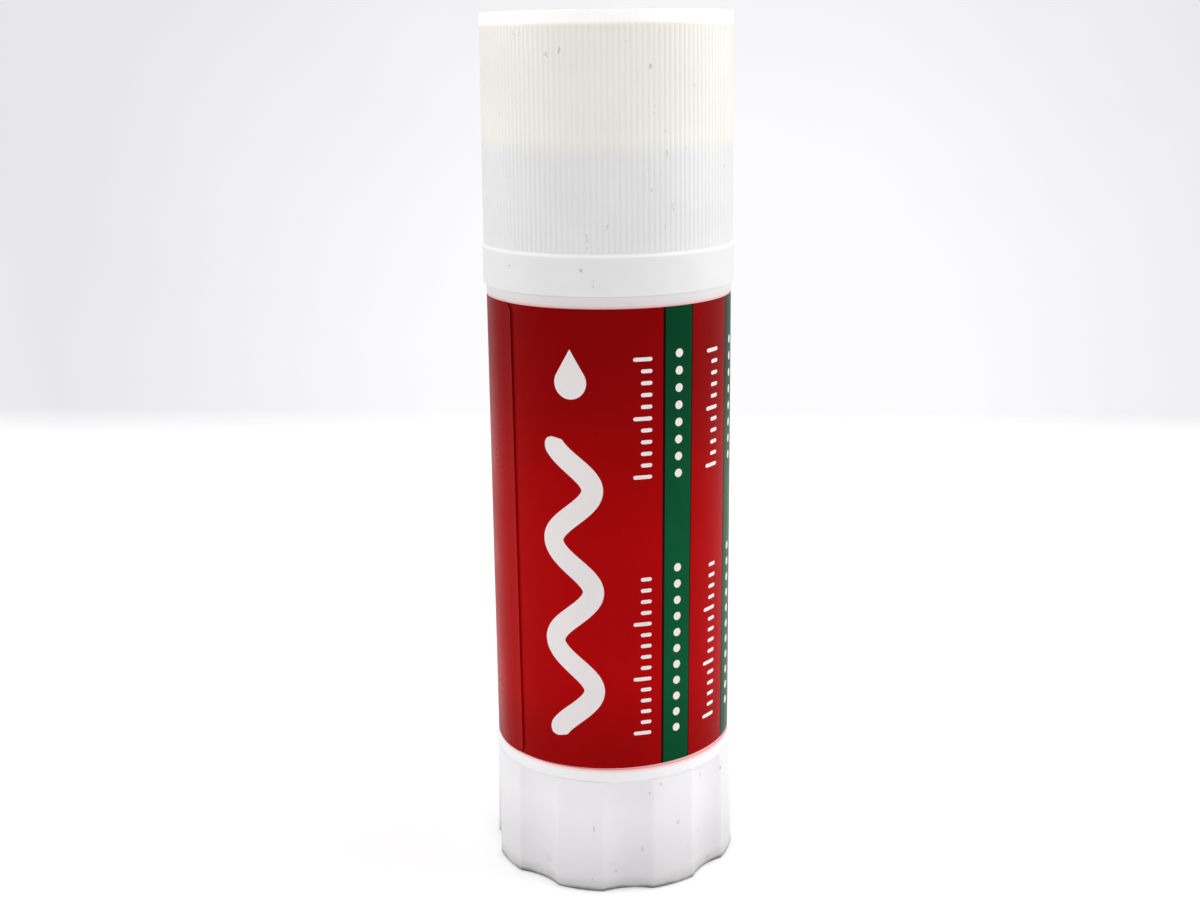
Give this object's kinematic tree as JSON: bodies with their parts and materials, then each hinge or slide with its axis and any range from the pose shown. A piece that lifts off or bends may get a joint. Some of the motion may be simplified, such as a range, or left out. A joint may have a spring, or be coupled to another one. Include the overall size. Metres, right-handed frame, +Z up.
{
  "type": "glue stick",
  "caption": "Large glue stick with a finely fluted push-on cap, a labelled tube and a scalloped turning knob that drives a screw to raise the glue.",
  "frame": {"origin": "middle of the foot of the knob, on the surface that the stick stands on", "axes": "+Z up the stick's axis towards the cap; -Y is the front of the label; +X is to the right seen from the front"},
  "size_m": [0.033, 0.033, 0.1136],
  "materials": {
    "white_plastic": "satin moulded white",
    "inner_plastic": "plain moulded off-white",
    "label_paper": "glossy printed red label with green stripes",
    "glue": "smooth waxy off-white"
  },
  "bodies": {
    "barrel": {"tube": "white_plastic", "label": "label_paper"},
    "drive": {"knob": "white_plastic", "spindle": "inner_plastic"},
    "lift": {"carrier": "inner_plastic", "glue": "glue"},
    "lid": {"cap": "white_plastic"}
  },
  "joints": [
    {"name": "knob_turn", "type": "hinge", "parent": "barrel", "child": "drive", "pos_m": [0, 0, 0.0157], "axis": [0, 0, 1], "range_deg": [-2700, 990]},
    {"name": "carrier_lift", "type": "slide", "parent": "barrel", "child": "lift", "axis": [0, 0, 1], "range_m": [-0.0451, 0.0166]},
    {"name": "cap_pull", "type": "slide", "parent": "barrel", "child": "lid", "axis": [0, 0, 1], "range_m": [0, 0.045]}
  ],
  "couplings": [
    {"joint": "carrier_lift", "follows": "knob_turn", "m_per_rad": 0.00095493}
  ]
}
